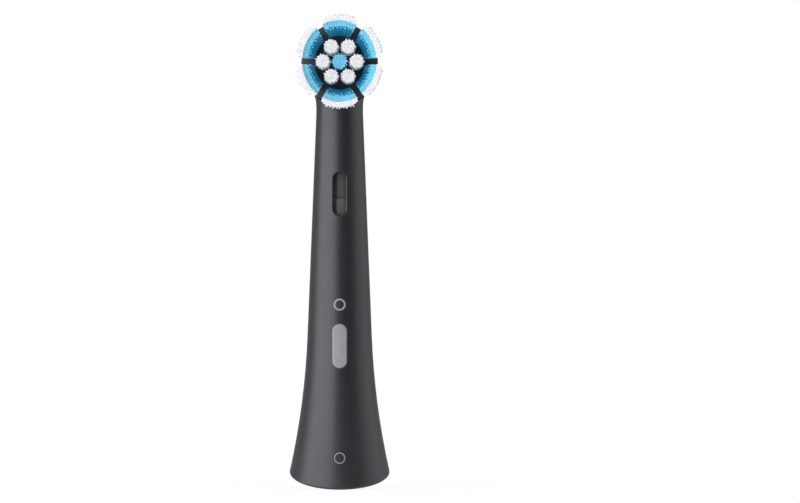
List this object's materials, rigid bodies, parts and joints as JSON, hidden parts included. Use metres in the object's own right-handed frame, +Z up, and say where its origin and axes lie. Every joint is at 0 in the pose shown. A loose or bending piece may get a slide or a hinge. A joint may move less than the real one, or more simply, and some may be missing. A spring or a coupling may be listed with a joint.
{
  "type": "electric toothbrush head",
  "caption": "Refill head for an electric toothbrush: tapered dark housing with a window slot, a sliding drive rod inside and an oval swinging plate of blue and white tufts.",
  "frame": {"origin": "on the drive axis at the mouth of the coupling sleeve's socket", "axes": "+Z up the drive axis towards the bristles' end, -Y out of the front where the bristles point, +X to the right seen from the front"},
  "size_m": [0.018, 0.0216, 0.0849],
  "materials": {
    "shell_plastic": "fine matt texture",
    "sleeve_plastic": "plain moulded",
    "rod_plastic": "smooth moulded",
    "pin_steel": "ground",
    "magnet_metal": "bright plated",
    "plate_plastic": "plain moulded",
    "blue_bristle": "drawn nylon filament",
    "white_bristle": "drawn nylon filament"
  },
  "bodies": {
    "housing": {"housing_shell": "shell_plastic", "coupling_sleeve": "sleeve_plastic", "axle_pin": "pin_steel", "retaining_pin": "pin_steel"},
    "brush_head": {"brush_plate": "plate_plastic", "centre_tuft": "blue_bristle", "inner_tuft_1": "white_bristle", "inner_tuft_2": "white_bristle", "inner_tuft_3": "white_bristle", "inner_tuft_4": "white_bristle", "inner_tuft_5": "white_bristle", "inner_tuft_6": "white_bristle", "outer_blue_tuft_1": "blue_bristle", "outer_blue_tuft_2": "blue_bristle", "outer_blue_tuft_3": "blue_bristle", "outer_blue_tuft_4": "blue_bristle", "outer_blue_tuft_5": "blue_bristle", "outer_blue_tuft_6": "blue_bristle", "outer_white_tuft_1": "white_bristle", "outer_white_tuft_2": "white_bristle", "outer_white_tuft_3": "white_bristle", "outer_white_tuft_4": "white_bristle", "outer_white_tuft_5": "white_bristle", "outer_white_tuft_6": "white_bristle"},
    "drive": {"drive_rod": "rod_plastic", "crank_pin": "pin_steel", "coupling_magnet": "magnet_metal", "magnet_ring": "sleeve_plastic"}
  },
  "joints": [
    {"name": "plate_swing", "type": "hinge", "parent": "housing", "child": "brush_head", "pos_m": [0, -0.0005, 0.0695], "axis": [0, -1, 0], "range_deg": [-17.5, 17.5]},
    {"name": "rod_slide", "type": "slide", "parent": "housing", "child": "drive", "axis": [0, 0, 1], "range_m": [-0.00092, 0.00092]}
  ],
  "couplings": [
    {"joint": "plate_swing", "follows": "rod_slide", "rad_per_m": 333.33}
  ]
}
